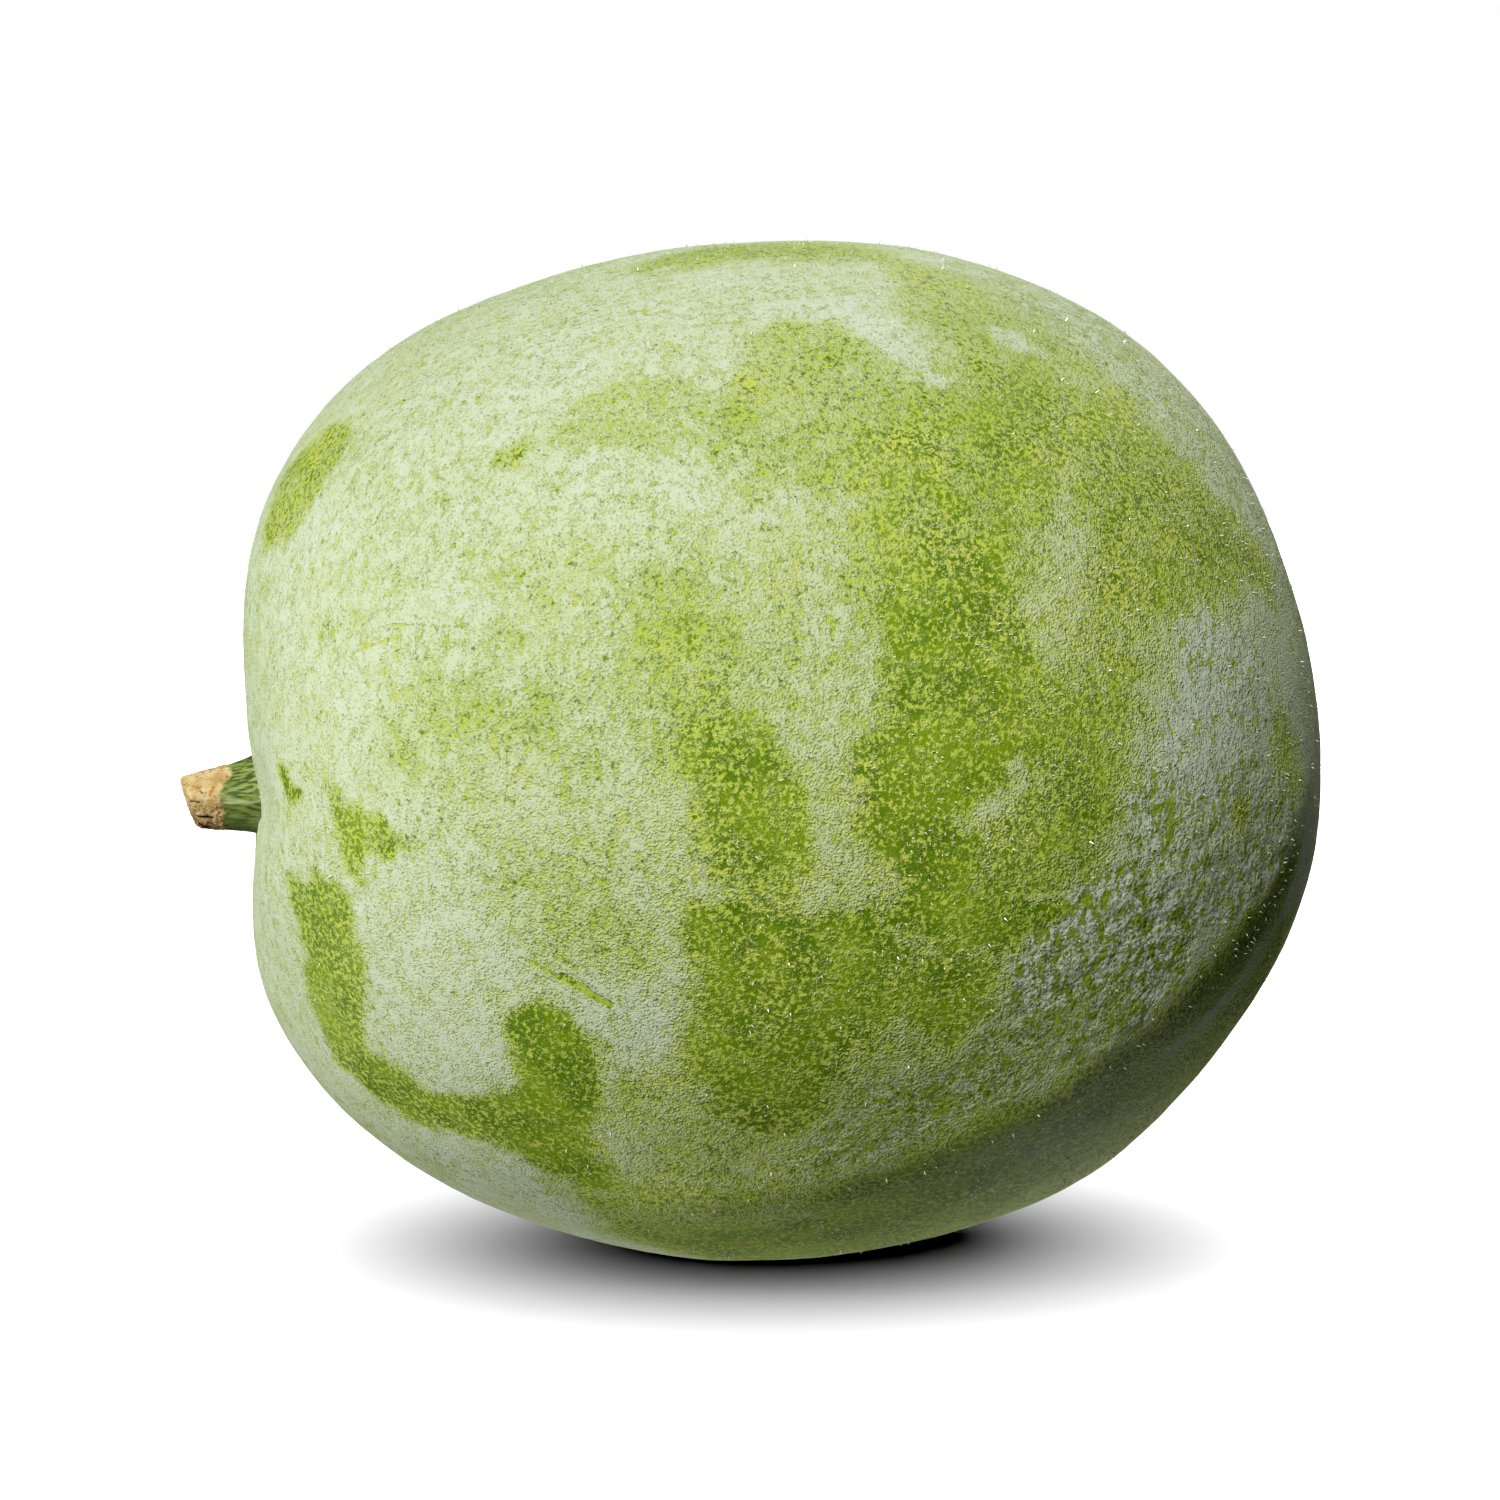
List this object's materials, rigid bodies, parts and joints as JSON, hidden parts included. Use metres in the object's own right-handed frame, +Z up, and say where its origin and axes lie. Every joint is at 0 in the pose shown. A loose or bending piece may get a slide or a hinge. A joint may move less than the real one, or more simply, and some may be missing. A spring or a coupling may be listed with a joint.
{
  "type": "wax gourd",
  "caption": "Round wax gourd lying on its side, with a dusty pale bloom over a mottled green rind and a short ribbed stalk with a dry cut end.",
  "frame": {"origin": "middle of the small flat that the gourd lies on, at its lowest point", "axes": "+Z up; +X along the gourd from the stalk end to the blossom end; -Y is the front, the side that is seen; the flat faces -Z"},
  "size_m": [0.2958, 0.2673, 0.2634],
  "materials": {
    "rind": "dull pale waxy bloom, rubbed through in patches to a mottled green rind",
    "stalk": "matt ribbed green stalk that is dry, tan and cracked towards the cut"
  },
  "bodies": {
    "root": {"fruit": "rind", "stalk": "stalk"}
  },
  "joints": []
}
